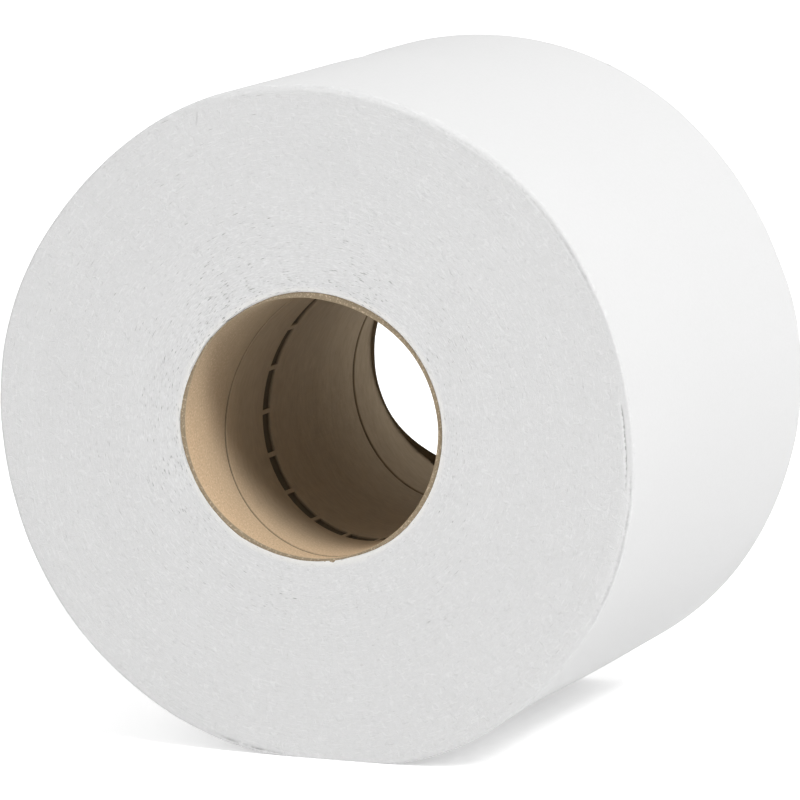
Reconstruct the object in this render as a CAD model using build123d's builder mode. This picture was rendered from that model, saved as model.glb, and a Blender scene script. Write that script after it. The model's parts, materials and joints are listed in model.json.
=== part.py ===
from build123d import *
import math
import os

# A toilet paper roll lying on its side: one long tissue web wound on a paperboard core.
# Millimetres, +Z up. The roll's axis runs along +Y, its near end faces -Y, and the origin
# is on the ground under the middle of the roll. Angles are in degrees clockwise from
# straight up, as seen from the near end.

# Driving dimensions of the wound tissue
roll_diameter = 142.0
roll_width = 106.0
edge_bevel = 1.2
ground_flat_depth = 0.2
sag = 2.2
sag_angle = 60.0
sag_turn = 120.0
sheet_end_step = 0.6
sheet_end_angle = -150.0
turn_pitch = 8.0
layer_width = 4.0
layer_setback = 0.3
border_width = 2.2

# Driving dimensions of the paperboard core
core_bore = 56.1
core_wall = 1.2
glue_gap = 0.1
core_lead = 73.2
inner_ply = 0.6
slot_length = 8.6
slot_width = 3.7
slot_pitch = 9.7
slot_row_angle = 46.2
first_slot = 1.19

# Sizes that follow from them
roll_radius = roll_diameter / 2
half_width = roll_width / 2
bore_radius = core_bore / 2
core_radius = bore_radius + core_wall
tissue_bore_radius = core_radius + glue_gap
axis_height = roll_radius - ground_flat_depth
axis_point = Vector(0, 0, axis_height)
along_roll = Vector(0, 1, 0)


def outward(angle):
    """Unit vector square to the roll's axis, at an angle clockwise from straight up."""
    return Vector(math.sin(math.radians(angle)), 0, math.cos(math.radians(angle)))


# Wound tissue

def section_plane(angle, shift):
    """Plane at an angle: x runs outward and y along the roll, from an axis shifted outward."""
    way = outward(angle)
    return Plane(axis_point + way * shift, x_dir=way, z_dir=way.cross(along_roll))


def turn_section_round(plane, arc):
    """Turn the pending section round the axis in its plane, clockwise where the arc is positive."""
    way = along_roll if arc > 0 else along_roll * -1
    revolve(axis=Axis(plane.origin, way), revolution_arc=abs(arc))


def roll_section(radius):
    """Section of the wound tissue from its axis out, with both outer edges bevelled."""
    shoulder = half_width - edge_bevel
    rim = radius - edge_bevel
    near_side = [(0, -half_width), (rim, -half_width), (radius, -shoulder)]
    far_side = [(radius, shoulder), (rim, half_width), (0, half_width)]
    Polyline(*near_side, *far_side, close=True)


def turn_section(outermost, count):
    """Section cut from one end: every other layer of the winding is set back a little."""
    middles = [outermost - layer_width / 2 - turn * turn_pitch for turn in range(count)]
    with Locations(*[(middle, half_width) for middle in middles]):
        Rectangle(layer_width, 2 * layer_setback)


# Two half turns about axes half a step apart make a spiral that steps at the sheet's end
centre_plane = section_plane(sheet_end_angle, 0)
step_plane = section_plane(sheet_end_angle, sheet_end_step / 2)
pitch_plane = section_plane(sheet_end_angle, turn_pitch / 2)
# The loose turns that sag beside the ground lie on an arc about an axis set back from it
sag_plane = section_plane(sag_angle, -sag)
first_turn_radius = roll_radius - border_width - turn_pitch
turn_count = math.ceil((first_turn_radius - tissue_bore_radius) / turn_pitch) + 1

with BuildPart() as end_turns:
    with BuildSketch(centre_plane):
        turn_section(first_turn_radius, turn_count)
    turn_section_round(centre_plane, -180)
    with BuildSketch(pitch_plane):
        turn_section(first_turn_radius + turn_pitch / 2, turn_count)
    turn_section_round(pitch_plane, 180)
    mirror(about=Plane.XZ)

with BuildPart() as tissue_roll:
    with BuildSketch(centre_plane):
        with BuildLine():
            roll_section(roll_radius)
        make_face()
    turn_section_round(centre_plane, -180)
    with BuildSketch(step_plane):
        with BuildLine():
            roll_section(roll_radius + sheet_end_step / 2)
        make_face()
    turn_section_round(step_plane, 180)
    with BuildSketch(sag_plane):
        with BuildLine():
            roll_section(roll_radius + sag)
        make_face()
    turn_section_round(sag_plane, sag_turn)
    # The soft roll is pressed flat where it rests on the ground
    split(bisect_by=Plane.XY, keep=Keep.TOP)
    with BuildSketch(Plane.XZ):
        with Locations((0, axis_height)):
            Circle(tissue_bore_radius)
    extrude(amount=half_width, both=True, mode=Mode.SUBTRACT)
    add(end_turns.part, mode=Mode.SUBTRACT)
tissue_roll.part.label = "tissue_roll"


# Paperboard core, wound from strips, with a row of slots along the helix of its inner ply

helix_slope = math.atan2(core_lead, 2 * math.pi * bore_radius)
slot_turn = math.degrees(slot_pitch * math.cos(helix_slope) / bore_radius)
slot_rise = slot_pitch * math.sin(helix_slope)
slot_count = math.ceil(roll_width / slot_rise - first_slot + 0.5)


def slot_plane(place):
    """Plane on the inner wall, a number of slot pitches along: x on the helix, z outward."""
    angle = slot_row_angle + place * slot_turn
    round_way = outward(angle + 90)
    helix_way = round_way * math.cos(helix_slope) + along_roll * math.sin(helix_slope)
    point = axis_point + outward(angle) * bore_radius
    point += along_roll * (place * slot_rise - half_width)
    return Plane(point, x_dir=helix_way, z_dir=outward(angle))


with BuildPart() as ply_slots:
    with Locations(*[slot_plane(index + first_slot) for index in range(slot_count)]):
        Box(slot_length, slot_width, 4 * inner_ply)
    with BuildSketch(Plane.XZ):
        with Locations((0, axis_height)):
            Circle(bore_radius + inner_ply)
    extrude(amount=roll_width, both=True, mode=Mode.INTERSECT)

with BuildPart() as core_tube:
    with BuildSketch(Plane.XZ):
        with Locations((0, axis_height)):
            Circle(core_radius)
            Circle(bore_radius, mode=Mode.SUBTRACT)
    extrude(amount=half_width, both=True)
    add(ply_slots.part, mode=Mode.SUBTRACT)
core_tube.part.label = "core_tube"

os.makedirs("parts", exist_ok=True)
export_step(tissue_roll.part, "parts/tissue_roll.step")
export_step(core_tube.part, "parts/core_tube.step")
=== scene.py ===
"""A toilet paper roll lying on its side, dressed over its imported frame.

Sizes are millimetres and turn into metres when a mesh is made. Angles are degrees clockwise
from straight up, seen from the near end, which faces -Y. The roll's axis runs along +Y.
"""
import json
import logging
import math
from dataclasses import dataclass, field
from enum import Enum

import bpy
import numpy as np
from mathutils import Matrix, Vector


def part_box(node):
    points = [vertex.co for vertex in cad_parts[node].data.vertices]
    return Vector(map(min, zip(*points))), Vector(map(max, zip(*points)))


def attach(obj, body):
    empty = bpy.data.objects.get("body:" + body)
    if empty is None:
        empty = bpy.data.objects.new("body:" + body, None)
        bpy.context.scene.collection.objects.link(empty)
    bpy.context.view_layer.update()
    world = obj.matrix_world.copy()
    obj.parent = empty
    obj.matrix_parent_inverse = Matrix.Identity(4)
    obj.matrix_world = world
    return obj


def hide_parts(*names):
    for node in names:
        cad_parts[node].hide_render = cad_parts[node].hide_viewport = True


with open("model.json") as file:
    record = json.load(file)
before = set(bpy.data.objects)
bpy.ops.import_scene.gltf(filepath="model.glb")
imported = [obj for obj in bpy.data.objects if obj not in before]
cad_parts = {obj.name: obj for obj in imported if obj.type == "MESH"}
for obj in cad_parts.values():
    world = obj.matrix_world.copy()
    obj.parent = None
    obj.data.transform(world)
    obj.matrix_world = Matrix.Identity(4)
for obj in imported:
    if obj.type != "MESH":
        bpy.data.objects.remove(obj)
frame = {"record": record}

MM = 0.001
WELD = 0.001
BODY = "root"

Colour = tuple[float, float, float, float]
Triple = tuple[float, float, float]
Pair = tuple[float, float]
Socket = bpy.types.NodeSocket

log = logging.getLogger("toilet_paper_roll")


class End(Enum):
    """One end of the roll; the value is the way it faces along the axis."""

    NEAR = -1
    FAR = 1


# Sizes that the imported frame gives

@dataclass(frozen=True)
class RollShape:
    """The roll's main sizes in millimetres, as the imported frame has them."""

    radius: float
    half_width: float
    axis_height: float
    core_radius: float
    bore_radius: float
    core_oval: float = 0.44
    core_drop: float = 0.5

    @classmethod
    def from_frame(cls) -> "RollShape":
        """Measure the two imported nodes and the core's bore.

        Returns:
            The sizes of the roll, with its axis half way up the core.
        """
        tissue_low, tissue_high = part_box("tissue_roll")
        core_low, core_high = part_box("core_tube")
        mounts = {mount["name"]: mount for mount in frame["record"]["mounts"]}
        axis_height = (core_low.z + core_high.z) / 2 / MM
        return cls(
            radius=tissue_high.z / MM - axis_height,
            half_width=(tissue_high.y - tissue_low.y) / 2 / MM,
            axis_height=axis_height,
            core_radius=(core_high.x - core_low.x) / 2 / MM,
            bore_radius=mounts["core_bore"]["dims"]["r_mm"],
        )

    def core_bend(self, angle: np.ndarray) -> np.ndarray:
        """How far the core's wall stands out from round, in a core that hangs a little low.

        A core wider than it is high has less of the cosine of twice the angle, and one that
        sits low has less of the cosine of the angle.
        """
        turn = np.radians(angle)
        return -self.core_oval * np.cos(2 * turn) - self.core_drop * np.cos(turn)

    def place(self, angle: np.ndarray, radius: np.ndarray, along: np.ndarray) -> np.ndarray:
        """Points round the roll's axis: x is radius times sine, z is radius times cosine.

        Args:
            angle: Degrees clockwise from straight up.
            radius: Distances from the axis.
            along: Places along the axis, zero at mid width.

        Returns:
            An array of points whose last axis is x, y, z.
        """
        turn = np.radians(angle)
        across = radius * np.sin(turn)
        height = self.axis_height + radius * np.cos(turn)
        return np.stack(np.broadcast_arrays(across, along, height), axis=-1)


# Shapes of unevenness

@dataclass(frozen=True)
class Ripples:
    """Soft unevenness: seeded cosine waves that close round the roll and slant across it.

    Args:
        seed: Seed of the waves.
        fewest: Fewest waves in one turn.
        most: Most waves in one turn.
        length: Shortest wavelength across, in millimetres.
        count: How many waves are added up.
    """

    seed: int
    fewest: int
    most: int
    length: float = 100.0
    count: int = 18

    def __call__(
        self, angle: np.ndarray, across: np.ndarray | float = 0.0, shift: int = 0,
    ) -> np.ndarray:
        """Add up cosines of wave count times angle plus slant times distance plus phase.

        Args:
            angle: Degrees round the roll.
            across: Millimetres the other way, either along the axis or out from it.
            shift: Added to the seed, so that the two ends differ.

        Returns:
            Heights with a spread of about one.
        """
        draw = np.random.default_rng(self.seed + shift)
        waves = draw.integers(self.fewest, self.most + 1, self.count)
        slants = draw.uniform(-1, 1, self.count) * 2 * math.pi / self.length
        phases = draw.uniform(0, 2 * math.pi, self.count)
        angle, across = np.broadcast_arrays(np.radians(angle), across)
        total = np.zeros(angle.shape)
        for wave, slant, phase in zip(waves, slants, phases):
            total += np.cos(wave * angle + slant * across + phase)
        return total / math.sqrt(self.count / 2)


def smooth_step(value: np.ndarray) -> np.ndarray:
    """Three times the square less twice the cube, with the value kept from 0 to 1."""
    kept = np.clip(value, 0, 1)
    return kept * kept * (3 - 2 * kept)


def apart(angle: np.ndarray, other: np.ndarray) -> np.ndarray:
    """Degrees from one angle to another the short way round, from -180 to 180."""
    return (angle - other + 180) % 360 - 180


def fallen(inset: np.ndarray, rounding: np.ndarray) -> np.ndarray:
    """Drop of a rounded edge: the rounding less the root of its square less the shortfall's."""
    short = np.clip(rounding - inset, 0, None)
    return rounding - np.sqrt(rounding**2 - short**2)


@dataclass(frozen=True)
class Stretch:
    """A stretch round the roll that fades out at both ends.

    Args:
        middle: Angle of its middle.
        half: Half its length in degrees, out to where it has faded.
        fade: Degrees over which it fades.
    """

    middle: float
    half: float
    fade: float

    def __call__(self, angle: np.ndarray) -> np.ndarray:
        """One inside the stretch, zero outside it and a smooth step between."""
        inside = self.half - np.abs(apart(angle, self.middle))
        return smooth_step(inside / self.fade)


@dataclass(frozen=True)
class Bump:
    """A stretch that stands out past a round outline, or falls short of it.

    Args:
        height: How far it stands out.
        stretch: Where round the roll it is.
    """

    height: float
    stretch: Stretch

    def __call__(self, angle: np.ndarray) -> np.ndarray:
        """How far it stands out at each angle."""
        return self.height * self.stretch(angle)


@dataclass(frozen=True)
class LooseTurn:
    """A gap where an outer turn has come loose, or a sloping edge where the inset is zero.

    Args:
        inset: Place of the gap, in from the outer surface.
        half: Half the gap's width.
        depth: Depth of the gap at its middle.
        dark: How dark the gap is painted at its middle, as painted shade.
        stretch: Where round the roll the gap is open.
    """

    inset: float
    half: float
    depth: float
    dark: float
    stretch: Stretch

    def __call__(self, inset: np.ndarray, angle: np.ndarray) -> np.ndarray:
        """How open the gap is: one at its middle and zero at its edges and past its ends."""
        return np.clip(1 - np.abs(inset - self.inset) / self.half, 0, 1) * self.stretch(angle)


# Meshes

def put(name: str, data: bpy.types.ID) -> bpy.types.Object:
    """Make an object of its data and link it to the scene."""
    made = bpy.data.objects.new(name, data)
    bpy.context.scene.collection.objects.link(made)
    return made


@dataclass
class Skin:
    """A closed skin: lines laid side by side, the last joined to the first.

    Args:
        points: Lines by columns by x, y, z, in millimetres.
        marks: Named values of each point, kept as attributes.
        strip: Flat coordinates of each point, kept as a UV map.
    """

    points: np.ndarray
    marks: dict[str, np.ndarray] = field(default_factory=dict)
    strip: np.ndarray | None = None

    def corners(self) -> np.ndarray:
        """Four point numbers for each face between two lines and two columns."""
        lines, columns = self.points.shape[:2]
        number = np.arange(lines * columns).reshape(lines, columns)
        beside = np.roll(number, -1, axis=0)
        faces = (number[:, :-1], number[:, 1:], beside[:, 1:], beside[:, :-1])
        return np.stack(faces, axis=-1).reshape(-1, 4)

    def make(self, name: str) -> bpy.types.Object:
        """Weld points that coincide, drop what has no area and make the object.

        Args:
            name: Name of the piece.

        Returns:
            A smooth-shaded object at the origin, linked to the scene.
        """
        flat = self.points.reshape(-1, 3)
        keys = np.round(flat / WELD).astype(np.int64)
        _, first, welded = np.unique(keys, axis=0, return_index=True, return_inverse=True)
        welded = welded.reshape(-1)
        source = self.corners()
        merged = welded[source]
        kept = merged != np.roll(merged, -1, axis=1)
        crossed = (merged[:, 0] == merged[:, 2]) | (merged[:, 1] == merged[:, 3])
        sides = kept.sum(axis=1)
        sides[crossed | (sides < 3)] = 0
        chosen = kept & (sides > 0)[:, None]
        sizes = sides[sides > 0]
        mesh = bpy.data.meshes.new(name)
        mesh.vertices.add(len(first))
        mesh.vertices.foreach_set("co", (flat[first] * MM).astype(np.float32).ravel())
        mesh.loops.add(int(sizes.sum()))
        mesh.loops.foreach_set("vertex_index", merged[chosen].astype(np.int32))
        mesh.polygons.add(len(sizes))
        starts = np.concatenate(([0], np.cumsum(sizes)[:-1]))
        mesh.polygons.foreach_set("loop_start", starts.astype(np.int32))
        mesh.update(calc_edges=True)
        for mark, values in self.marks.items():
            spread = np.broadcast_to(values, self.points.shape[:2]).reshape(-1)
            attribute = mesh.attributes.new(mark, "FLOAT", "POINT")
            attribute.data.foreach_set("value", spread[first].astype(np.float32))
        if self.strip is not None:
            layer = mesh.uv_layers.new(name="strip")
            layer.uv.foreach_set("vector", self.strip.reshape(-1, 2)[source[chosen]].ravel())
        mesh.shade_smooth()
        mesh.validate()
        return put(name, mesh)


# Wound tissue

@dataclass
class WoundTissue:
    """The wound tissue web: two spiral ends, rounded edges, a soft side and a bore."""

    shape: RollShape
    columns: int = 288
    sheet_end_angle: float = -150.0
    turns: int = 39
    turn_lines: tuple[float, ...] = (0.0, 0.22, 0.78)
    turn_wander: float = 0.13
    wander_most: float = 0.25
    wander_seed: int = 51
    wander_spread: int = 9
    valley_depth: float = 0.012
    fleck_depth: float = 0.05
    fleck_reach: float = 9.0
    fleck_rarity: float = 3.4
    fleck_gain: float = 1.9
    fleck_seed: int = 61
    fleck_spread: int = 1
    end_setback: float = 0.15
    end_lumps: float = 0.06
    lump_ripples: Ripples = Ripples(31, 1, 9, 22.0)
    end_streaks: float = 0.012
    streak_ripples: Ripples = Ripples(41, 40, 90, 30.0)
    band_depth: float = 0.02
    band_pitch: float = 8.0
    border: float = 3.0
    border_insets: tuple[float, ...] = (
        2.5, 1.98, 1.87, 1.76, 1.65, 1.45, 1.2, 1.0, 0.8, 0.6, 0.45, 0.28, 0.14, 0.05, 0.0)
    edge_round: float = 0.7
    edge_wander: float = 0.06
    edge_ripples: Ripples = Ripples(11, 5, 40)
    edge_least: float = 0.3
    right_sharp: Bump = Bump(0.2, Stretch(85.0, 65.0, 30.0))
    near_slopes: tuple[LooseTurn, ...] = (
        LooseTurn(0.0, 2.3, 0.4, 0.0, Stretch(108.0, 36.0, 22.0)),
        LooseTurn(0.0, 1.3, 0.75, 0.0, Stretch(12.0, 46.0, 30.0)),
    )
    near_gaps: tuple[LooseTurn, ...] = (
        LooseTurn(1.76, 0.25, 0.3, 0.9, Stretch(90.0, 8.0, 3.0)),
        LooseTurn(1.2, 0.4, 0.15, 0.22, Stretch(42.0, 26.0, 10.0)),
        LooseTurn(0.8, 0.4, 0.2, 0.3, Stretch(101.0, 8.0, 4.0)),
        LooseTurn(0.8, 0.6, 0.3, 0.25, Stretch(114.0, 10.0, 5.0)),
        LooseTurn(0.8, 0.5, 0.45, 0.4, Stretch(-168.5, 8.0, 5.0)),
    )
    far_gaps: tuple[LooseTurn, ...] = (
        LooseTurn(1.76, 0.25, 0.4, 0.6, Stretch(38.0, 16.0, 8.0)),
        LooseTurn(0.8, 0.4, 0.4, 0.4, Stretch(-70.0, 14.0, 8.0)),
    )
    tear_level: float = 0.5
    tear_spread: float = 0.6
    tear_most: float = 1.3
    tear_ripples: Ripples = Ripples(71, 45, 125)
    side_lines: int = 40
    waist: float = 0.15
    side_lumps: float = 0.12
    side_ripples: Ripples = Ripples(11, 1, 7, 70.0)
    near_flare: float = 0.22
    near_bumps: tuple[Bump, ...] = (
        Bump(2.75, Stretch(137.0, 58.0, 45.0)),
        Bump(0.6, Stretch(-78.0, 26.0, 26.0)),
        Bump(-0.35, Stretch(-114.0, 24.0, 20.0)),
        Bump(-0.25, Stretch(-47.0, 20.0, 20.0)),
        Bump(0.5, Stretch(-4.0, 34.0, 24.0)),
        Bump(0.45, Stretch(-158.0, 22.0, 18.0)),
    )
    middle_bumps: tuple[Bump, ...] = (
        Bump(1.7, Stretch(150.0, 50.0, 40.0)),
        Bump(0.75, Stretch(-22.0, 60.0, 45.0)),
    )
    far_flare: float = 0.5
    far_bumps: tuple[Bump, ...] = (
        Bump(1.2, Stretch(115.0, 52.0, 40.0)),
        Bump(0.25, Stretch(80.0, 12.0, 10.0)),
    )
    dent: Bump = Bump(0.6, Stretch(-22.0, 45.0, 35.0))
    dent_middle: float = 26.0
    dent_length: float = 10.0
    press_softness: float = 0.3
    glue_gap: float = 0.1
    near_lips: tuple[Bump, ...] = (
        Bump(0.9, Stretch(-50.0, 46.0, 32.0)),
        Bump(0.4, Stretch(-128.0, 34.0, 26.0)),
        Bump(0.8, Stretch(180.0, 42.0, 24.0)),
    )
    far_lips: tuple[Bump, ...] = (Bump(0.5, Stretch(60.0, 60.0, 40.0)),)
    lip_depth: float = 0.12
    lip_least: float = 0.17
    lip_reach: float = 0.85
    lip_wander: float = 0.03
    lip_ripples: Ripples = Ripples(11, 6, 40)
    lip_shift: int = 5
    lip_turns: float = 3.0
    lip_highlight_width: float = 1.1

    @property
    def bore(self) -> np.ndarray:
        """Radius of the hole that the core sits in, at each column."""
        return self.shape.core_radius + self.glue_gap + self.shape.core_bend(self.column_angles())

    def column_angles(self) -> np.ndarray:
        """Angles of the columns; the last is the first again."""
        steps = np.arange(self.columns + 1) % self.columns
        return self.sheet_end_angle + 360 * steps / self.columns

    def sag(self, angle: np.ndarray, reach: np.ndarray) -> np.ndarray:
        """How far the turns sag beside the ground: most at the near end, least half way.

        Args:
            angle: Degrees round the roll.
            reach: Places along the axis, from -1 at the near end to 1 at the far end.

        Returns:
            Distances out from the round side. The share of each end is the square of the
            way to it, and half way has what is left.
        """
        near_share = np.clip(-reach, 0, 1) ** 2
        far_share = np.clip(reach, 0, 1) ** 2
        near = self.near_flare + sum(bump(angle) for bump in self.near_bumps)
        middle = sum(bump(angle) for bump in self.middle_bumps)
        far = self.far_flare + sum(bump(angle) for bump in self.far_bumps)
        return near * near_share + middle * (1 - near_share - far_share) + far * far_share

    def side_radius(self, angle: np.ndarray, along: np.ndarray) -> np.ndarray:
        """The roll's radius less a waist, which is one less the square of the way to an end.

        Args:
            angle: Degrees round the roll.
            along: Places along the axis.

        Returns:
            Radii of the soft side, less a bell-shaped dent at the upper left.
        """
        reach = np.clip(along / self.shape.half_width, -1, 1)
        lumps = self.side_lumps * self.side_ripples(angle, along)
        waisted = self.shape.radius - self.waist * (1 - reach**2) + lumps
        bell = np.exp(-(((along - self.dent_middle) / self.dent_length) ** 2))
        return waisted + self.sag(angle, reach) - self.dent(angle) * bell

    def edge_radius(self, angle: np.ndarray, end: End) -> np.ndarray:
        """Rounding of an outer edge, tighter on the right of the near end."""
        wander = self.edge_ripples(angle, shift=end.value)
        rounding = self.edge_round + self.edge_wander * wander
        if end is End.NEAR:
            rounding -= self.right_sharp(angle)
        return np.maximum(rounding, self.edge_least)

    def gaps(self, end: End) -> tuple[LooseTurn, ...]:
        """Gaps between the outer turns of one end."""
        return self.near_gaps if end is End.NEAR else self.far_gaps

    def gap_marks(self, end: End) -> np.ndarray:
        """How dark the gaps are painted on each line of one end's border: painted shade."""
        inset = np.array(self.border_insets)[:, None]
        angle = self.column_angles()
        return np.max([gap.dark * gap(inset, angle) for gap in self.gaps(end)], axis=0)

    def lip(self, angle: np.ndarray, end: End) -> np.ndarray:
        """How far the first turns reach over the core's rim."""
        lips = self.near_lips if end is End.NEAR else self.far_lips
        cover = np.max([lip(angle) for lip in lips], axis=0)
        wander = self.lip_ripples(angle, shift=self.lip_shift * end.value)
        reach = self.lip_least + (self.lip_reach - self.lip_least) * cover
        return reach + self.lip_wander * wander * cover

    def end_hollow(self, angle: np.ndarray, radius: np.ndarray, end: End) -> np.ndarray:
        """Setback of an end's surface: soft lumps, radial streaks and broad spiral bands.

        Args:
            angle: Degrees round the roll.
            radius: Distances from the axis.
            end: The end.

        Returns:
            Setbacks from the end's plane, none below zero.
        """
        lumps = self.lump_ripples(angle, radius, end.value)
        streaks = self.streak_ripples(angle, radius, end.value)
        spiral = radius / self.band_pitch + apart(angle, self.sheet_end_angle) / 360
        bands = np.cos(2 * math.pi * spiral)
        hollow = self.end_lumps * lumps + self.end_streaks * streaks + self.band_depth * bands
        return np.clip(self.end_setback + hollow, 0, None)

    def web_noise(self, seed: int, spread: int) -> np.ndarray:
        """Noise along the web and two spare turns at each end, smoothed over some columns."""
        draw = np.random.default_rng(seed)
        rough = draw.standard_normal((self.turns + 4) * self.columns)
        smooth = np.convolve(rough, np.hanning(2 * spread + 1), mode="same")
        return smooth / smooth.std()

    def levels(self) -> tuple[np.ndarray, np.ndarray, np.ndarray]:
        """The spiral lines' turns, places in a turn, and levels counted in turns from the bore.

        A line's level is its turn plus its place in the turn less the share of a turn gone
        round, kept between the first and the last turn.
        """
        column = np.arange(self.columns + 1)
        turn, offset = np.meshgrid(np.arange(self.turns + 1), self.turn_lines, indexing="ij")
        turn = np.append(turn.ravel(), self.turns + 1)[:, None]
        offset = np.append(offset.ravel(), 0.0)[:, None]
        return turn, offset, np.clip(turn + offset - column / self.columns, 0, self.turns)

    def end_lines(self, end: End) -> np.ndarray:
        """The spiral lines of one end, from the bore out to the border.

        Args:
            end: The end.

        Returns:
            Lines by columns by x, y, z. A line's radius runs evenly with its level.
        """
        angle = self.column_angles()
        column = np.arange(self.columns + 1)
        turn, offset, level = self.levels()
        valley = turn + (offset > 0.5)
        web = ((self.turns + 2 - valley) * self.columns + column).astype(int)
        inside = np.clip(np.minimum(level, self.turns - level), 0, 1)
        noise = self.web_noise(self.wander_seed + end.value, self.wander_spread)[web]
        wander = self.turn_wander * inside * noise
        wandered = level + np.clip(wander, -self.wander_most, self.wander_most)
        outer = self.side_radius(angle, end.value * self.shape.half_width) - self.border
        radius = self.bore + (outer - self.bore) * wandered / self.turns
        radius -= self.lip(angle, end) * np.clip(1 - level / self.lip_turns, 0, 1) ** 2
        flecks = self.web_noise(self.fleck_seed + end.value, self.fleck_spread)[web]
        near_core = np.exp(-(radius - self.bore) / self.fleck_reach)
        rarity = self.fleck_rarity - self.fleck_gain * near_core
        fleck = self.fleck_depth * np.clip(flecks - rarity, 0, 1)
        groove = (offset == 0) * (self.valley_depth + fleck) * inside
        depth = self.end_hollow(angle, radius, end) + groove
        along = end.value * (self.shape.half_width - depth)
        return self.shape.place(angle, radius, along)

    def border_lines(self, end: End) -> np.ndarray:
        """The outer border and rounded edge of one end, from the border out to the side.

        Args:
            end: The end.

        Returns:
            Lines by columns by x, y, z. Loose turns leave narrow gaps, torn unevenly.
        """
        angle = self.column_angles()
        inset = np.array(self.border_insets)[:, None]
        radius = self.side_radius(angle, end.value * self.shape.half_width) - inset
        depth = fallen(inset, self.edge_radius(angle, end)) + self.end_hollow(angle, radius, end)
        if end is End.NEAR:
            depth = depth + sum(slope.depth * slope(inset, angle) for slope in self.near_slopes)
        torn = self.tear_level + self.tear_spread * self.tear_ripples(angle)
        torn = np.clip(torn, 0, self.tear_most)
        for gap in self.gaps(end):
            depth = depth + gap.depth * gap(inset, angle) * torn
        along = end.value * (self.shape.half_width - depth)
        radius = self.side_radius(angle, along) - inset
        return self.shape.place(angle, radius, along)

    def side_skin(self) -> np.ndarray:
        """Lines of the soft side, closer together towards both edges."""
        angle = self.column_angles()
        share = np.linspace(0, 1, self.side_lines + 2)[1:-1, None]
        share = share - np.sin(4 * math.pi * share) / (8 * math.pi)
        starts = []
        for end in End:
            hollow = self.end_hollow(angle, self.side_radius(angle, 0.0), end)
            depth = self.edge_radius(angle, end) + hollow
            starts.append(end.value * (self.shape.half_width - depth))
        along = starts[0] + (starts[1] - starts[0]) * share
        return self.shape.place(angle, self.side_radius(angle, along), along)

    def bore_lines(self) -> np.ndarray:
        """Lines of the bore, from the far lip back to the near one."""
        reach = self.shape.half_width - self.lip_depth - self.end_setback
        along = np.array([reach, reach / 3, -reach / 3, -reach])[:, None]
        return self.shape.place(self.column_angles(), self.bore, along)

    def pressed(self, points: np.ndarray) -> np.ndarray:
        """Press the underside flat: height is a softness times the log of one plus its power."""
        lowest = points[..., 2].min()
        soft = self.press_softness
        pressed = points.copy()
        pressed[..., 2] = soft * np.logaddexp(0, points[..., 2] / soft)
        pressed[..., 2] -= soft * np.logaddexp(0, lowest / soft)
        return pressed

    def build(self) -> bpy.types.Object:
        """Join near end, side, far end and bore into one closed skin.

        Returns:
            The wound tissue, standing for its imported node.
        """
        near = np.concatenate((self.end_lines(End.NEAR), self.border_lines(End.NEAR)))
        far = np.concatenate((self.end_lines(End.FAR), self.border_lines(End.FAR)))[::-1]
        parts = (near, self.side_skin(), far, self.bore_lines())
        faces = (1.0, 0.0, 1.0, 0.0)
        cut = np.concatenate([np.full(len(part), face) for part, face in zip(parts, faces)])
        points = self.pressed(np.concatenate(parts))
        # Mask of the first turns at the bore, which get a painted highlight
        first_turn = np.zeros(points.shape[:2])
        level = self.levels()[2]
        first_turn[:len(level)] = np.clip(1 - level / self.lip_highlight_width, 0, 1)
        gap = np.zeros(points.shape[:2])
        gap[len(level):len(near)] = self.gap_marks(End.NEAR)
        side_end = len(near) + self.side_lines
        gap[side_end:side_end + len(self.border_insets)] = self.gap_marks(End.FAR)[::-1]
        marks = {"cut_end": cut[:, None], "first_turn": first_turn, "gap": gap}
        piece = Skin(points, marks).make("tissue_turns")
        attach(piece, BODY)
        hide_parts("tissue_roll")
        return piece


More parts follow.
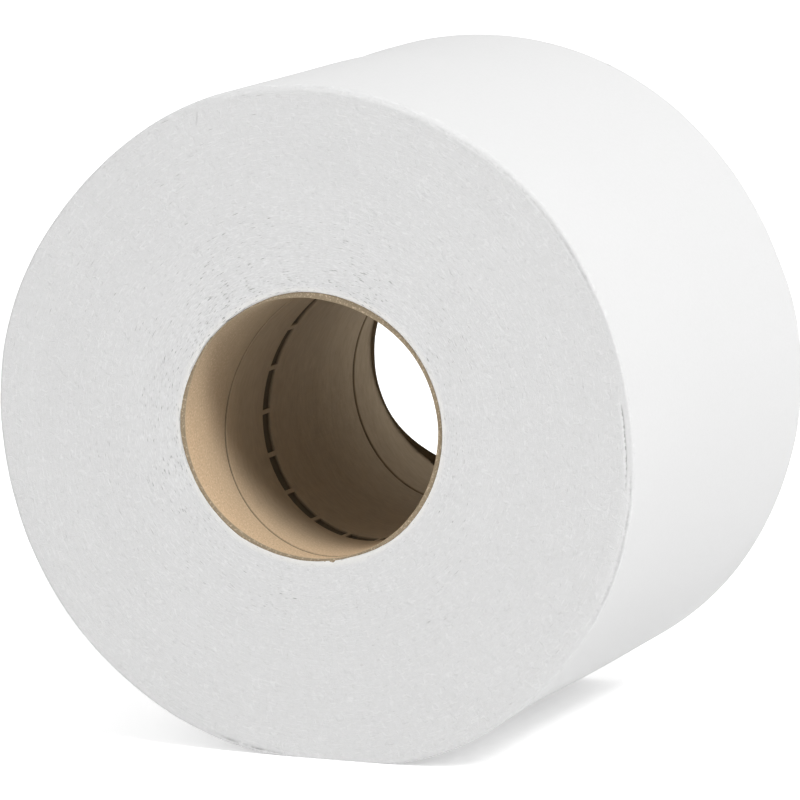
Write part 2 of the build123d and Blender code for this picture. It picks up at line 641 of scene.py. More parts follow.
@dataclass
class SheetEnd:
    """The loose end of the outermost sheet, torn along its perforation."""

    tissue: WoundTissue
    reach: float = 105.0
    columns: int = 60
    crowding: float = 1.6
    lines: int = 213
    thickness: float = 0.24
    lift: float = 1.3
    lift_reach: float = 24.0
    lift_most: float = 1.1
    curl: float = 0.35
    curl_ripples: Ripples = Ripples(72, 0, 3, 45.0)
    curl_least: float = 0.06
    curl_start: float = -0.85
    curl_reach: float = 1.2
    dive: float = 0.6
    dive_start: float = 0.45
    edge_inset: float = 0.35
    edge_share: float = 0.35
    settle_share: float = 0.5
    tuck: float = 0.7
    tuck_reach: float = 14.0
    nib_pitch: float = 8.5
    nib_width: float = 1.6
    nib_height: float = 0.7
    ragged: float = 0.075
    rag_ripples: Ripples = Ripples(71, 3, 30, 6.0)
    rag_turn: float = 2.0

    def torn_edge(self, along: np.ndarray) -> np.ndarray:
        """Degrees that the torn edge reaches past the sheet's end: nibs at a pitch, and rags."""
        beat = np.abs((along / self.nib_pitch) % 1 - 0.5) * self.nib_pitch
        nib = self.nib_height * np.clip(1 - beat / (self.nib_width / 2), 0, 1)
        rags = self.ragged * self.rag_ripples(along * self.rag_turn, along)
        return np.degrees((nib + rags) / self.tissue.shape.radius)

    def surface(self, outside: bool) -> np.ndarray:
        """One face of the sheet, over its length and its width.

        The sheet lies on the side, lifts off by the square of the way to its torn edge, and
        sinks under the turn below at its other end, so both faces meet at both ends.

        Args:
            outside: True for the face that shows.

        Returns:
            Lines by columns by x, y, z.
        """
        shape = self.tissue.shape
        half = shape.half_width - self.edge_inset
        along = np.linspace(-half, half, self.lines)[:, None]
        share = np.linspace(0, 1, self.columns)[None, :] ** self.crowding
        back = self.torn_edge(along)
        angle = self.tissue.sheet_end_angle - back + (self.reach + back) * share
        gone = (angle - self.tissue.sheet_end_angle) / self.lift_reach
        curl = 1 + self.curl * self.curl_ripples(angle, along)
        onward = smooth_step((along / half - self.curl_start) / self.curl_reach)
        curl = curl * (self.curl_least + (1 - self.curl_least) * onward)
        offset = self.lift * curl * np.clip(1 - gone, 0, self.lift_most) ** 2
        offset = offset - self.dive * smooth_step((share - self.dive_start) / (1 - self.dive_start))
        if outside:
            body = np.ones_like(share)
            body[0, [0, -1]] = 0.0
            offset = offset + self.thickness * body
        tucked = smooth_step((along + half) / self.tuck_reach)
        radius = self.tissue.side_radius(angle, along) + offset - self.tuck * (1 - tucked)
        drop = fallen(shape.half_width - np.abs(along), self.tissue.edge_round)
        low_down = smooth_step(share / self.settle_share)
        low_down = self.edge_share + (1 - self.edge_share) * low_down
        return shape.place(angle, radius - drop * low_down, along)

    def build(self) -> bpy.types.Object:
        """Close both faces into one thin sheet.

        Returns:
            The sheet's end, lying on the wound tissue.
        """
        points = np.concatenate((self.surface(True), self.surface(False)[::-1]))
        marks = dict.fromkeys(("cut_end", "first_turn", "gap"), np.zeros((1, 1)))
        piece = Skin(points, marks).make("sheet_end")
        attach(piece, BODY)
        return piece


# Paperboard core

@dataclass
class BoardCore:
    """The spiral-wound paperboard core, with its ply seam and its row of ply slots."""

    shape: RollShape
    lead: float = 73.2
    seam_angle: float = 157.6
    slot_angle: float = 46.2
    slot_length: float = 8.6
    slot_width: float = 3.7
    slot_pitch: float = 9.7
    first_slot: float = 1.19
    slot_depth: float = 0.6
    faint_slots: Bump = Bump(0.55, Stretch(-13.0, 18.0, 5.0))
    wall_edge: float = 0.05
    seam_depth: float = 0.3
    seam_half: float = 0.2
    seam_bank: float = 0.5
    seam_mark: float = 0.8
    ply_lift: float = 0.12
    ply_reach: float = 2.5
    column_step: float = 2.5
    line_step: float = 3.0
    closest: float = 0.25
    rim_setback: float = 0.32
    rim_wander: float = 0.05
    rim_ripples: Ripples = Ripples(31, 2, 24)
    rim_least: float = 0.2
    rim_bevel: float = 0.13
    rim_rough: float = 0.04
    rough_ripples: Ripples = Ripples(46, 20, 90)
    burr: float = 1.8
    burr_least: float = 0.65
    burr_stretch: Stretch = Stretch(-168.0, 52.0, 42.0)
    burr_shade: float = 0.75
    burr_shade_least: float = 0.35
    roundness: float = 0.1
    wall_ripples: Ripples = Ripples(40, 2, 5, 90.0)
    sharp_angle: float = 40.0

    @property
    def slope(self) -> float:
        """Slope of the winding, in radians."""
        return math.atan2(self.lead, 2 * math.pi * self.shape.bore_radius)

    @property
    def slot_turn(self) -> float:
        """Degrees from one slot to the next."""
        return math.degrees(self.slot_pitch * math.cos(self.slope) / self.shape.bore_radius)

    @property
    def slot_share(self) -> float:
        """Half a slot's length as a share of the pitch."""
        return self.slot_length / self.slot_pitch / 2

    @property
    def row_start(self) -> float:
        """Degrees from the seam to the row of slots, at the near end."""
        return (self.slot_angle - self.seam_angle) % 360

    @property
    def row_offset(self) -> float:
        """Distance along the axis from the seam to the row of slots behind it."""
        return self.lead * (1 - self.row_start / 360)

    @property
    def row_half(self) -> float:
        """Half the row's width, measured along the axis."""
        return self.slot_width / math.cos(self.slope) / 2

    @property
    def slot_count(self) -> int:
        """Slots along the whole row."""
        rise = self.slot_pitch * math.sin(self.slope)
        return math.ceil(2 * self.shape.half_width / rise - self.first_slot + 0.5)

    def column_turns(self) -> np.ndarray:
        """Degrees round from the seam, with two columns at each end of each slot."""
        place = np.arange(self.slot_count)[:, None] + self.first_slot
        ends = place + np.array([-self.slot_share, self.slot_share])
        edge = math.degrees(self.wall_edge / self.shape.bore_radius)
        ends = (self.row_start + ends * self.slot_turn)[..., None] + np.array([-edge, edge])
        marked = np.unique(np.round(ends.ravel() % 360, 6))
        even = np.arange(0, 360, self.column_step)
        gaps = np.abs(apart(even[:, None], marked[None, :])).min(axis=1)
        even = even[(gaps > self.closest * self.column_step) | (even == 0)]
        return np.append(np.sort(np.concatenate((even, marked))), 360.0)

    def strip_lines(self) -> np.ndarray:
        """Places of the lines across one strip, from its seam to the next."""
        seam = np.array([0.0, self.seam_half, self.seam_bank, self.ply_reach])
        before = self.lead - np.array([self.seam_bank, self.seam_half])
        row = self.row_offset + np.array([-self.row_half, self.row_half])
        walls = (row[:, None] + np.array([-self.wall_edge, self.wall_edge])).ravel()
        marked = np.concatenate((seam, walls, before))
        even = np.arange(self.line_step, self.lead, self.line_step)
        gaps = np.abs(even[:, None] - marked[None, :]).min(axis=1)
        even = even[gaps > self.closest * self.line_step]
        return np.sort(np.concatenate((even, marked)))

    def rim_setbacks(self, angle: np.ndarray, end: End) -> np.ndarray:
        """Setback of a cut rim from the roll's end."""
        wander = self.rim_ripples(angle, shift=end.value)
        return np.maximum(self.rim_setback + self.rim_wander * wander, self.rim_least)

    def unevenness(self, angle: np.ndarray, depth: np.ndarray) -> np.ndarray:
        """How far the inner wall stands out from an even round."""
        return self.roundness * self.wall_ripples(angle, depth)

    def burr_painted_shade(self, angle: np.ndarray) -> np.ndarray:
        """How dark the far rim's burr is painted, as painted shade: darkest where it is widest."""
        wide = self.burr_stretch(angle)
        return self.burr_shade * (self.burr_shade_least + (1 - self.burr_shade_least) * wide)

    def inner_wall(self) -> tuple[np.ndarray, np.ndarray, np.ndarray]:
        """The inner wall on lines that follow the winding, from the far end to the near one.

        A line's place along the axis is its place across the strip plus the lead times its
        turns, kept between the two rims. Slots are sunk into the wall between doubled lines.

        Returns:
            The points, the dark mark (painted shade on the slot floors and on the far burr, and the
            dark seam line), and the flat coordinates on the strip.
        """
        turned = self.column_turns()
        angle = self.seam_angle + turned % 360
        half = self.shape.half_width
        coils = np.arange(-2, math.ceil(2 * half / self.lead) + 1)
        coil, across = np.meshgrid(coils, self.strip_lines(), indexing="ij")
        across = across.reshape(-1, 1)
        wound = coil.reshape(-1, 1) + turned / 360
        depth = across + self.lead * wound
        nearest = self.rim_setbacks(angle, End.NEAR) + self.rim_bevel
        furthest = 2 * half - self.rim_setbacks(angle, End.FAR) - self.rim_bevel
        free = (depth > nearest) & (depth < furthest)
        depth = np.clip(depth, nearest, furthest)
        place = ((wound + 1) * 360 - self.row_start) / self.slot_turn
        beat = place - self.first_slot + 0.5
        in_slot = np.abs(beat % 1 - 0.5) < self.slot_share
        in_slot &= (beat > 0) & (beat < self.slot_count)
        in_slot &= np.abs(across - self.row_offset) < self.row_half
        sunk = (in_slot & free).astype(float)
        seam_edge = (self.seam_half + self.seam_bank) / 2
        seam = (np.minimum(across, self.lead - across) < seam_edge) & free
        ply = np.clip(1 - across / self.ply_reach, 0, 1) ** 2 * (across > 0) * free
        radius = self.shape.bore_radius + self.slot_depth * sunk + self.seam_depth * seam
        radius = radius - self.ply_lift * ply
        radius = radius + self.shape.core_bend(angle) + self.unevenness(angle, depth)
        points = self.shape.place(angle, radius, depth - half)
        length = self.lead / math.sin(self.slope)
        flat = np.broadcast_arrays(wound * length, across * math.cos(self.slope))
        strip = np.stack(flat, axis=-1)
        # The slot floors are painted dark, as painted shade, fainter near the top; the far burr is
        # too, and the seam is a dark line
        shown = sunk * (1 - self.faint_slots(angle))
        marks = np.maximum(shown, self.seam_mark * seam)
        marks = np.maximum(marks, self.burr_painted_shade(angle) * (depth >= furthest))
        return points[::-1], marks[::-1], strip[::-1]

    def outer_wall(self) -> tuple[np.ndarray, np.ndarray]:
        """The near rim, the outer wall and the far rim, as lines from the bore out and back.

        The saw has turned the inner edge of the far rim in, as a thin burr.

        Returns:
            The points, and the flat coordinates, measured round the tube and along its axis.
        """
        turned = self.column_turns()
        angle = self.seam_angle + turned % 360
        half = self.shape.half_width
        near = self.rim_setbacks(angle, End.NEAR) - half
        far = half - self.rim_setbacks(angle, End.FAR)
        bend = self.shape.core_bend(angle)
        inner = self.shape.bore_radius + self.rim_bevel + bend + self.unevenness(angle, 0.0)
        outer = self.shape.core_radius - self.rim_bevel + bend
        burr = self.burr_least + (self.burr - self.burr_least) * self.burr_stretch(angle)
        middle = (inner + outer) / 2
        whole = self.shape.core_radius + bend
        rough = self.rim_rough * self.rough_ripples(angle)
        radius = np.stack((inner, middle, outer, whole, whole, outer, middle, inner - burr))
        along = np.stack((
            near, near + rough, near, near + self.rim_bevel,
            far - self.rim_bevel, far, far + rough, far))
        round_way = np.broadcast_to(turned / 360 * 2 * math.pi * radius.mean(), along.shape)
        strip = np.stack((round_way, along + radius + 3 * self.lead), axis=-1)
        return self.shape.place(angle, radius, along), strip

    def build(self) -> bpy.types.Object:
        """Join the inner wall to the rims and the outer wall.

        Returns:
            The core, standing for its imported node.
        """
        wall, sunk, wall_strip = self.inner_wall()
        rest, rest_strip = self.outer_wall()
        points = np.concatenate((wall, rest))
        cut = np.concatenate((np.zeros(len(wall)), (1, 1, 1, 0, 0, 1, 1, 0)))
        # The far burr's line is painted dark, as painted shade
        burr = np.zeros(rest.shape[:2])
        burr[-1] = self.burr_painted_shade(self.seam_angle + self.column_turns())
        marks = {"sunk": np.concatenate((sunk, burr)), "cut_rim": cut[:, None]}
        piece = Skin(points, marks, np.concatenate((wall_strip, rest_strip))).make("core_plies")
        piece.data.set_sharp_from_angle(angle=math.radians(self.sharp_angle))
        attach(piece, BODY)
        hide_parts("core_tube")
        return piece


# Finishes

class Wiring:
    """Adds nodes to one tree and links them."""

    def __init__(self, tree: bpy.types.NodeTree) -> None:
        """Start from an empty tree."""
        self.tree = tree
        tree.nodes.clear()

    def add(self, kind: str, inputs: dict | None = None, **settings: object) -> bpy.types.Node:
        """Add one node.

        Args:
            kind: The node's type.
            inputs: Its inputs by name or number: an output to link, or a plain value.
            settings: Its own settings.

        Returns:
            The new node.
        """
        node = self.tree.nodes.new(kind)
        for name, value in settings.items():
            setattr(node, name, value)
        for name, value in (inputs or {}).items():
            if isinstance(value, Socket):
                self.tree.links.new(value, node.inputs[name])
            else:
                node.inputs[name].default_value = value
        return node

    def math(self, operation: str, *values: object) -> Socket:
        """Work out a sum of one, two or three values."""
        return self.add("ShaderNodeMath", dict(enumerate(values)), operation=operation).outputs[0]

    def times(self, first: object, second: object) -> Socket:
        """One value times another."""
        return self.math("MULTIPLY", first, second)

    def vector(self, operation: str, *values: object) -> Socket:
        """Work out a sum of vectors; a length or a dot product is a plain value."""
        node = self.add("ShaderNodeVectorMath", dict(enumerate(values)), operation=operation)
        return node.outputs["Value" if operation in ("LENGTH", "DOT_PRODUCT") else "Vector"]

    def span(self, value: object, ends: Pair, first: float = 0.0, last: float = 1.0) -> Socket:
        """Map a value between two ends onto a span, kept inside it."""
        low, high = ends
        limits = {"From Min": low, "From Max": high, "To Min": first, "To Max": last}
        node = self.add("ShaderNodeMapRange", {"Value": value, **limits}, clamp=True)
        return node.outputs["Result"]

    def blend(self, share: object, first: object, second: object) -> Socket:
        """Mix two colours by a share."""
        inputs = {0: share, 6: first, 7: second}
        return self.add("ShaderNodeMix", inputs, data_type="RGBA").outputs[2]

    def noise(self, place: Socket, scale: object, detail: float = 1.0) -> Socket:
        """Noise at a place."""
        inputs = {"Vector": place, "Scale": scale, "Detail": detail}
        return self.add("ShaderNodeTexNoise", inputs).outputs[0]

    def thin_lines(self, noise: Socket, width: float) -> Socket:
        """Thin lines where a noise passes its middle, one on the line and zero beside it."""
        off_middle = self.math("ABSOLUTE", self.math("SUBTRACT", noise, 0.5))
        return self.span(off_middle, (0.0, width), 1.0, 0.0)

    def mark(self, name: str) -> Socket:
        """A mark that the mesh carries."""
        return self.add("ShaderNodeAttribute", attribute_name=name).outputs["Fac"]

    def surface(self, looks: dict, height: Socket, depth: float) -> None:
        """Give the tree its shader, with a bump of some depth in millimetres."""
        bump = self.add("ShaderNodeBump", {"Height": height, "Distance": depth * MM})
        shader = self.add("ShaderNodeBsdfPrincipled", {**looks, "Normal": bump.outputs[0]})
        self.add("ShaderNodeOutputMaterial", {"Surface": shader.outputs[0]})


def new_material(name: str) -> tuple[bpy.types.Material, Wiring]:
    """Start a material, with the wiring of its tree."""
    material = bpy.data.materials.new(name)
    material.use_nodes = True
    return material, Wiring(material.node_tree)


def fibre_group(
    finer_by: float = 2.7, line_width: float = 0.05, line_rise: float = 0.35,
) -> bpy.types.ShaderNodeTree:
    """Paper fibres: a soft mottle, and a height raised where a finer noise passes its middle.

    Args:
        finer_by: How many times finer the height is than the mottle.
        line_width: Width of a raised line, as a part of the noise's range.
        line_rise: Height of a raised line over the noise.

    Returns:
        A node group with a place and a fineness in, and mottle and height out.
    """
    tree = bpy.data.node_groups.new("Paper fibres", "ShaderNodeTree")
    wiring = Wiring(tree)
    sockets = (
        ("Place", "INPUT", "NodeSocketVector"), ("Fineness", "INPUT", "NodeSocketFloat"),
        ("Mottle", "OUTPUT", "NodeSocketFloat"), ("Height", "OUTPUT", "NodeSocketFloat"))
    for name, way, kind in sockets:
        tree.interface.new_socket(name, in_out=way, socket_type=kind)
    given = wiring.add("NodeGroupInput").outputs
    mottle = wiring.noise(given["Place"], given["Fineness"], detail=3.0)
    finer = wiring.times(given["Fineness"], finer_by)
    noise = wiring.noise(given["Place"], finer, detail=2.0)
    lines = wiring.thin_lines(noise, line_width)
    height = wiring.math("MULTIPLY_ADD", lines, line_rise, noise)
    wiring.add("NodeGroupOutput", {"Mottle": mottle, "Height": height})
    return tree


@dataclass(frozen=True)
class TissueFinish:
    """Soft matte white tissue, with dark flecks painted between the turns of a cut end, as painted
    shade.
    """

    shape: RollShape
    fibres: bpy.types.ShaderNodeTree
    colour: Colour = (0.81, 0.81, 0.81, 1.0)
    shade: Colour = (0.70, 0.70, 0.695, 1.0)
    bright: Colour = (0.87, 0.87, 0.87, 1.0)
    # Dark grey of the painted shade in flecks, creases, gaps and the nick
    fleck: Colour = (0.44, 0.44, 0.43, 1.0)
    # Lighter cream of the first turns at the bore: a painted highlight along the lip
    lip: Colour = (0.93, 0.915, 0.885, 1.0)
    fibre_size: float = 0.7
    mottle_ends: Pair = (0.3, 0.7)
    mottle_share: float = 0.14
    end_mottle: float = 1.2
    ring_radius: float = 45.0
    dash_size: Pair = (1.5, 0.26)
    dash_ends: Pair = (0.62, 0.80)
    dash_rise: float = 0.8
    fleck_size: Pair = (1.8, 0.24)
    fleck_ends: Pair = (0.755, 0.90)
    fleck_rise: float = -1.5
    core_ends: Pair = (29.0, 52.0)
    core_gain: float = 0.112
    rest_gain: float = 0.022
    fleck_way: Triple = (-0.6, 0.0, 0.8)
    fleck_lean: float = 0.35
    cluster_size: float = 9.0
    cluster_ends: Pair = (0.35, 0.65)
    cluster_gain: float = 0.03
    crease_size: float = 2.2
    crease_width: float = 0.06
    crease_break: float = 1.3
    break_ends: Pair = (0.52, 0.66)
    lint_share: float = 0.6
    crease_share: float = 0.1
    crease_shift: Triple = (0.31, 0.47, 0.23)
    tear_size: float = 0.8
    tear_ends: Pair = (0.42, 0.6)
    nick_place: Triple = (-25.5, 0.0, 63.6)
    nick_angle: float = 5.0
    nick_half: float = 1.8
    nick_sides: Pair = (0.05, 0.32)
    nick_share: float = 0.3
    grain_depth: float = 0.042
    roughness: float = 0.95
    gloss: float = 0.1
    sheen: float = 0.04
    sheen_roughness: float = 0.6

    def ring_noise(self, wiring: Wiring, radius: Socket, way: Socket, size: Pair) -> Socket:
        """Noise drawn out along the turns; it lies on direction and radius, so it closes round.

        Args:
            wiring: The material's nodes.
            radius: Distance from the axis.
            way: Direction from the axis.
            size: Length of a dash half way out, and its width.

        Returns:
            The noise.
        """
        length, width = size
        count = self.ring_radius / length
        round_way = wiring.vector("MULTIPLY", way, (count, 0.0, count))
        rings = wiring.math("DIVIDE", radius, width * MM)
        ring_way = wiring.add("ShaderNodeCombineXYZ", {"Y": rings}).outputs[0]
        return wiring.noise(wiring.vector("ADD", round_way, ring_way), 1.0)

    def creases(self, wiring: Wiring, place: Socket) -> Socket:
        """Mask of short creases: the thin lines of one noise, broken by a finer one."""
        noise = wiring.noise(place, 1 / (self.crease_size * MM))
        broken = wiring.noise(place, 1 / (self.crease_break * MM))
        lines = wiring.thin_lines(noise, self.crease_width)
        return wiring.times(lines, wiring.span(broken, self.break_ends))

    def nick(self, wiring: Wiring, flat: Socket) -> Socket:
        """A short nick across the outer turns of the near end, at its upper left, painted dark as
        painted shade.

        Args:
            wiring: The material's nodes.
            flat: Place from the axis, square to it.

        Returns:
            The nick's mask: near enough to its line, and between its two ends.
        """
        turn = math.radians(self.nick_angle)
        onward = (math.sin(turn), 0.0, math.cos(turn))
        beside = (math.cos(turn), 0.0, -math.sin(turn))
        moved = wiring.vector("SUBTRACT", flat, tuple(part * MM for part in self.nick_place))
        gone = wiring.math("ABSOLUTE", wiring.vector("DOT_PRODUCT", moved, onward))
        off = wiring.math("ABSOLUTE", wiring.vector("DOT_PRODUCT", moved, beside))
        line = wiring.span(off, tuple(side * MM for side in self.nick_sides), self.nick_share, 0.0)
        ends = (0.5 * self.nick_half * MM, self.nick_half * MM)
        return wiring.times(line, wiring.span(gone, ends, 1.0, 0.0))

    def material(self) -> bpy.types.Material:
        """Build the material.

        Returns:
            The tissue's material: grain all over, with light dashes on ends, and painted shade in
            dark flecks, creases, gaps and a nick there, and a painted highlight on the lip.
        """
        material, wiring = new_material("white_tissue")
        cut_end = wiring.mark("cut_end")
        place = wiring.add("ShaderNodeTexCoord").outputs["Object"]
        centred = wiring.vector("SUBTRACT", place, (0.0, 0.0, self.shape.axis_height * MM))
        flat = wiring.vector("MULTIPLY", centred, (1.0, 0.0, 1.0))
        radius = wiring.vector("LENGTH", flat)
        way = wiring.vector("NORMALIZE", flat)

        # Light dashes and dark flecks lie along the turns, most of them near the core; the dark
        # flecks are painted shade between the turns
        dashes = self.ring_noise(wiring, radius, way, self.dash_size)
        flecks = self.ring_noise(wiring, radius, way, self.fleck_size)
        core_ends = tuple(end * MM for end in self.core_ends)
        near_core = wiring.span(radius, core_ends, self.core_gain, self.rest_gain)
        worked = wiring.vector("DOT_PRODUCT", way, self.fleck_way)
        leaning = wiring.math("MULTIPLY_ADD", worked, self.fleck_lean, 1.0)
        near_core = wiring.times(near_core, leaning)
        clusters = wiring.noise(place, 1 / (self.cluster_size * MM))
        crowd = wiring.span(clusters, self.cluster_ends, -self.cluster_gain, self.cluster_gain)
        raised = wiring.math("ADD", wiring.math("ADD", flecks, near_core), crowd)
        dark = wiring.times(wiring.span(raised, self.fleck_ends), cut_end)
        lit = wiring.math("ADD", dashes, near_core)
        light = wiring.times(wiring.span(lit, self.dash_ends), cut_end)

        # Lint stands up from the ends, and creases, gaps and the nick are sunk into them and
        # painted darker, as painted shade
        lint = wiring.times(self.creases(wiring, place), cut_end)
        shifted = wiring.vector("ADD", place, self.crease_shift)
        crease = wiring.times(self.creases(wiring, shifted), cut_end)
        tears = wiring.noise(place, 1 / (self.tear_size * MM))
        gap = wiring.times(wiring.mark("gap"), wiring.span(tears, self.tear_ends))
        dark = wiring.math("MAXIMUM", dark, wiring.times(self.nick(wiring, flat), cut_end))
        dark = wiring.math("MAXIMUM", dark, gap)

        # Colour and height
        fineness = 1 / (self.fibre_size * MM)
        inputs = {"Place": place, "Fineness": fineness}
        grain = wiring.add("ShaderNodeGroup", inputs, node_tree=self.fibres).outputs
        mottle = wiring.span(grain["Mottle"], self.mottle_ends, 0.0, self.mottle_share)
        rougher = wiring.math("MULTIPLY_ADD", cut_end, self.end_mottle, 1.0)
        colour = wiring.blend(wiring.times(mottle, rougher), self.colour, self.shade)
        colour = wiring.blend(light, colour, self.bright)
        colour = wiring.blend(wiring.times(lint, self.lint_share), colour, self.bright)
        colour = wiring.blend(wiring.times(crease, self.crease_share), colour, self.fleck)
        # The first turns at the bore are painted lighter: a painted highlight along the lip
        colour = wiring.blend(wiring.mark("first_turn"), colour, self.lip)
        colour = wiring.blend(dark, colour, self.fleck)
        turns = wiring.times(dashes, cut_end)
        height = wiring.math("MULTIPLY_ADD", turns, self.dash_rise, grain["Height"])
        height = wiring.math("MULTIPLY_ADD", dark, self.fleck_rise, height)
        height = wiring.math("ADD", lint, wiring.math("SUBTRACT", height, crease))
        looks = {
            "Base Color": colour, "Roughness": self.roughness, "Specular IOR Level": self.gloss,
            "Sheen Weight": self.sheen, "Sheen Roughness": self.sheen_roughness}
        wiring.surface(looks, height, self.grain_depth)
        return material


@dataclass(frozen=True)
class BoardFinish:
    """Brown paperboard, with fibres along the winding, dark seams, painted shade in the slots, on
    the far burr and at the far edge, and painted light on the lit lower mouth.
    """

    shape: RollShape
    fibres: bpy.types.ShaderNodeTree
    colour: Colour = (0.50, 0.40, 0.28, 1.0)
    shade: Colour = (0.38, 0.305, 0.212, 1.0)
    # Pale warm tint of the lower near mouth: painted light where the key lamp lights it, partly
    # tissue dust
    dust_and_painted_light: Colour = (0.88, 0.625, 0.39, 1.0)
    mouth_reach: float = 30.0
    mouth_share: float = 0.6
    mouth_rise: Pair = (-4.0, 22.0)
    # Dark brown of the painted shade on the slot floors, on the far burr and at the far edge, and
    # of the dark seam line
    hollow: Colour = (0.12, 0.098, 0.066, 1.0)
    rim: Colour = (0.345, 0.273, 0.184, 1.0)
    speck: Colour = (0.93, 0.76, 0.56, 1.0)
    speck_size: float = 0.5
    speck_share: float = 0.9
    pale_ends: Pair = (0.52, 0.72)
    dark_ends: Pair = (0.46, 0.28)
    # A dark band just inside the far edge: painted shade
    far_shade_ends: Pair = (1.76, 0.66)
    far_shade_share: float = 0.3
    fibre_size: float = 0.9
    fibre_stretch: Triple = (0.3, 1.0, 1.0)
    band_stretch: Triple = (0.02, 0.12, 1.0)
    mottle_ends: Pair = (0.3, 0.7)
    fine_share: float = 0.5
    band_share: float = 0.35
    grain_depth: float = 0.05
    roughness: float = 0.85
    gloss: float = 0.1

    def material(self) -> bpy.types.Material:
        """Build the material.

        Returns:
            The core's material, laid out on its strips.
        """
        material, wiring = new_material("brown_board")
        strip = wiring.add("ShaderNodeUVMap", uv_map="strip").outputs[0]
        place = wiring.vector("MULTIPLY", strip, self.fibre_stretch)
        inputs = {"Place": place, "Fineness": 1 / self.fibre_size}
        grain = wiring.add("ShaderNodeGroup", inputs, node_tree=self.fibres).outputs
        band_place = wiring.vector("MULTIPLY", strip, self.band_stretch)
        bands = wiring.noise(band_place, 1.0, detail=3.0)
        fine = wiring.span(grain["Mottle"], self.mottle_ends, 0.0, self.fine_share)
        wide = wiring.span(bands, self.mottle_ends, 0.0, self.band_share)
        colour = wiring.blend(wiring.math("ADD", fine, wide), self.colour, self.shade)

        # The near mouth is paler and warmer low down: painted light where the key lamp lights it,
        # partly tissue dust. The far edge is painted dark: painted shade
        spot = wiring.add("ShaderNodeTexCoord").outputs["Object"]
        parts = wiring.add("ShaderNodeSeparateXYZ", {0: spot}).outputs
        far = self.shape.half_width * MM
        mouth_ends = (-far, -far + self.mouth_reach * MM)
        near_mouth = wiring.span(parts["Y"], mouth_ends, self.mouth_share, 0.0)
        heights = tuple((self.shape.axis_height + rise) * MM for rise in self.mouth_rise)
        low_down = wiring.span(parts["Z"], heights, 1.0, 0.0)
        colour = wiring.blend(wiring.times(near_mouth, low_down), colour, self.dust_and_painted_light)
        far_shade_ends = tuple(far - end * MM for end in self.far_shade_ends)
        far_shade = wiring.span(parts["Y"], far_shade_ends, 0.0, self.far_shade_share)
        colour = wiring.blend(far_shade, colour, self.hollow)

        # Cut rims, specks near the mouth, and the dark mark: painted shade on the slot floors and
        # the far burr, and the dark seam line
        colour = wiring.blend(wiring.mark("cut_rim"), colour, self.rim)
        specks = wiring.noise(strip, 1 / self.speck_size, detail=2.0)
        for ends, tint in ((self.pale_ends, self.speck), (self.dark_ends, self.shade)):
            share = wiring.times(wiring.span(specks, ends, 0.0, self.speck_share), near_mouth)
            colour = wiring.blend(share, colour, tint)
        colour = wiring.blend(wiring.mark("sunk"), colour, self.hollow)
        looks = {
            "Base Color": colour, "Roughness": self.roughness, "Specular IOR Level": self.gloss}
        wiring.surface(looks, grain["Height"], self.grain_depth)
        return material


# Floor, light and camera

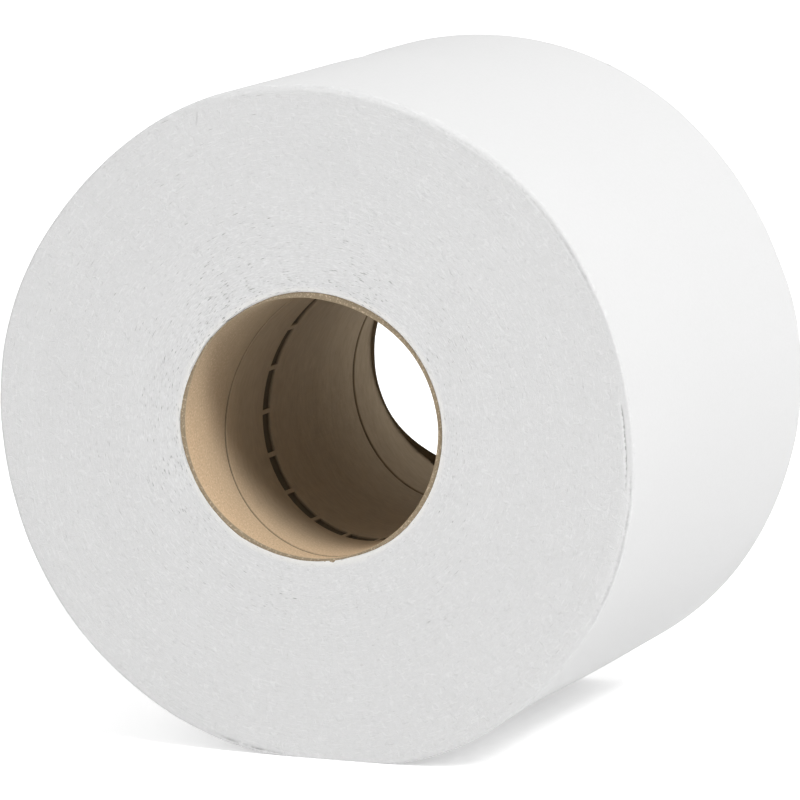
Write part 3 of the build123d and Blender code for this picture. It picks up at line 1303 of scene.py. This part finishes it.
@dataclass
class Studio:
    """A pale floor, soft light from the upper right, and a camera at the photo's angle."""

    shape: RollShape
    azimuth: float = 21.70
    elevation: float = 8.89
    lens: float = 355.2
    sensor: float = 36.0
    farthest: float = 100.0
    end_right: float = -18.8
    end_up: float = -5.44
    end_away: float = 1649.9
    floor_half: float = 9000.0
    floor_drop: float = 0.05
    floor_colour: Colour = (0.98, 0.98, 0.98, 1.0)
    floor_glow: float = 0.4
    floor_bounce: float = 0.05
    white: Colour = (1.0, 1.0, 1.0, 1.0)
    key_way: Triple = (0.600, -0.360, 0.714)
    key_distance: float = 3200.0
    key_size: float = 920.0
    key_share: float = 0.62
    sky_ahead: Triple = (0.16, 0.425, 0.92)
    sky_behind: Triple = (0.717, 0.0, 0.0)

    def camera(self) -> None:
        """Place the camera so that the near end's middle sits where the photo has it."""
        turn = math.radians(self.azimuth)
        rise = math.radians(self.elevation)
        right = Vector((math.cos(turn), math.sin(turn), 0))
        across = math.cos(rise)
        away = Vector((-math.sin(turn) * across, math.cos(turn) * across, -math.sin(rise)))
        up = right.cross(away)
        near_end = Vector((0, -self.shape.half_width, self.shape.axis_height))
        eye = near_end - right * self.end_right - up * self.end_up - away * self.end_away
        lens = bpy.data.cameras.new("camera")
        lens.lens = self.lens
        lens.sensor_width = self.sensor
        lens.clip_end = self.farthest
        camera = put("camera", lens)
        axes = Matrix((right, up, -away)).transposed().to_4x4()
        camera.matrix_world = Matrix.Translation(eye * MM) @ axes
        bpy.context.scene.camera = camera

    def key_lamp(self) -> None:
        """Hang the key lamp; pi squared times distance squared watts light white fully."""
        lamp = bpy.data.lights.new("key", "AREA")
        lamp.shape = "DISK"
        lamp.size = self.key_size * MM
        lamp.energy = self.key_share * (math.pi * self.key_distance * MM) ** 2
        way = Vector(self.key_way).normalized()
        aim = Vector((0, 0, self.shape.axis_height))
        turned = (-way).to_track_quat("-Z", "Y").to_matrix().to_4x4()
        place = Matrix.Translation((aim + way * self.key_distance) * MM)
        put("key", lamp).matrix_world = place @ turned

    def seen_rays(self, wiring: Wiring) -> Socket:
        """One for rays that show the background: camera, glossy and transmission rays."""
        rays = wiring.add("ShaderNodeLightPath").outputs
        mirrored = wiring.math("MAXIMUM", rays["Is Glossy Ray"], rays["Is Transmission Ray"])
        return wiring.math("MAXIMUM", rays["Is Camera Ray"], mirrored)

    def world(self) -> None:
        """Light the roll from all round, with white behind it.

        The light from a direction is the squares of its x, y and z, each times a strength of
        its own, with one set of strengths for the positive parts and one for the negative.
        """
        world = bpy.data.worlds.new("soft_light")
        world.use_nodes = True
        bpy.context.scene.world = world
        wiring = Wiring(world.node_tree)
        seen = self.seen_rays(wiring)
        way = wiring.add("ShaderNodeTexCoord").outputs["Generated"]
        glow = 0.0
        for operation, strengths in (("MAXIMUM", self.sky_ahead), ("MINIMUM", self.sky_behind)):
            part = wiring.vector(operation, way, (0.0, 0.0, 0.0))
            square = wiring.vector("MULTIPLY", part, part)
            glow = wiring.math("ADD", wiring.vector("DOT_PRODUCT", square, strengths), glow)
        unseen = wiring.times(wiring.math("SUBTRACT", 1.0, seen), glow)
        strength = wiring.math("ADD", seen, unseen)
        light = wiring.add("ShaderNodeBackground", {"Color": self.white, "Strength": strength})
        wiring.add("ShaderNodeOutputWorld", {"Surface": light.outputs[0]})

    def floor(self) -> None:
        """Lay a plain pale floor that looks white and keeps the roll's shadow."""
        half = self.floor_half * MM
        low = -self.floor_drop * MM
        mesh = bpy.data.meshes.new("floor")
        corners = [(-half, -half, low), (half, -half, low), (half, half, low), (-half, half, low)]
        mesh.from_pydata(corners, [], [(0, 1, 2, 3)])
        floor = put("floor", mesh)
        material, wiring = new_material("pale_floor")
        seen = self.seen_rays(wiring)
        glow = wiring.math("MULTIPLY_ADD", seen, self.floor_glow, self.floor_bounce)
        plain = wiring.add("ShaderNodeBsdfDiffuse", {"Color": self.floor_colour})
        light = wiring.add("ShaderNodeEmission", {"Strength": glow})
        both = wiring.add("ShaderNodeAddShader", {0: plain.outputs[0], 1: light.outputs[0]})
        wiring.add("ShaderNodeOutputMaterial", {"Surface": both.outputs[0]})
        mesh.materials.append(material)

    def build(self) -> None:
        """Set up camera, lamp, world and floor."""
        self.camera()
        self.key_lamp()
        self.world()
        self.floor()
        bpy.context.scene.view_settings.view_transform = "Standard"


def main() -> None:
    """Build the roll's pieces in order, dress them and set the scene."""
    logging.basicConfig(level=logging.INFO)
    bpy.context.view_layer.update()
    shape = RollShape.from_frame()
    fibres = fibre_group()
    tissue_finish = TissueFinish(shape, fibres).material()
    board_finish = BoardFinish(shape, fibres).material()
    tissue = WoundTissue(shape)
    pieces = (
        (tissue, tissue_finish),
        (SheetEnd(tissue), tissue_finish),
        (BoardCore(shape), board_finish),
    )
    for maker, finish in pieces:
        piece = maker.build()
        piece.data.materials.append(finish)
        log.info("%s: %d faces", piece.name, len(piece.data.polygons))
    Studio(shape).build()


if __name__ == "__main__":
    main()
